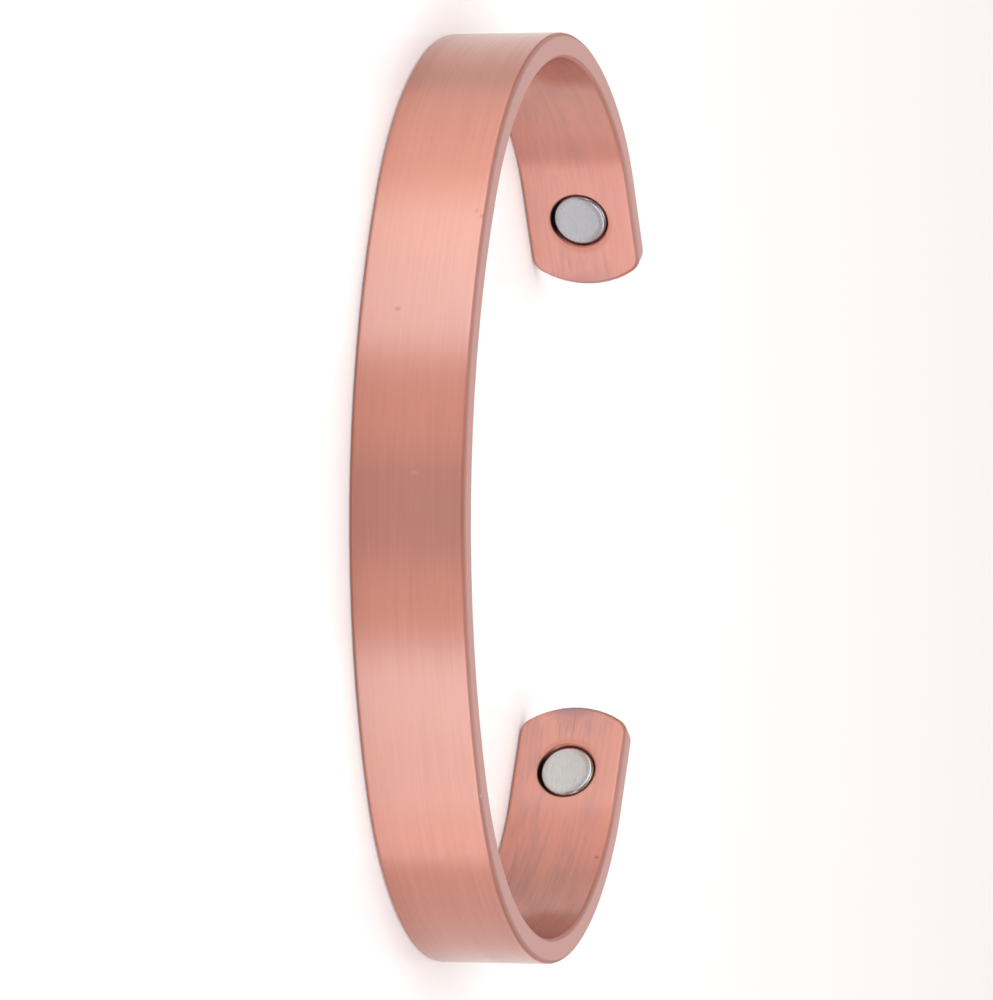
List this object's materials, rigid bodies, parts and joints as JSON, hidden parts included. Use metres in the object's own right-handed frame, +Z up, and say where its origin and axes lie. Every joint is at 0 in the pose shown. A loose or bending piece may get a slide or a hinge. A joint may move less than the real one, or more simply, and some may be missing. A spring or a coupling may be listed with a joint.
{
  "type": "magnetic bracelet",
  "caption": "Open C-shaped copper cuff bent from a flat strip with rounded ends, with disc magnets set flush in round pockets on the inside of its ends.",
  "frame": {"origin": "middle of the outline's box, on the floor that the cuff lies on", "axes": "+Z up along the wrist's axis, from one long edge of the strip to the other; -Y the outer face of the band's back; +Y the opening between the two ends; -X the left arm and +X the right arm"},
  "size_m": [0.0644, 0.0482, 0.008],
  "materials": {
    "copper": "satin copper, brushed lengthwise",
    "nickel": "satin nickel plate"
  },
  "bodies": {
    "root": {"band": "copper", "left_magnet": "nickel", "right_magnet": "nickel"}
  },
  "joints": []
}
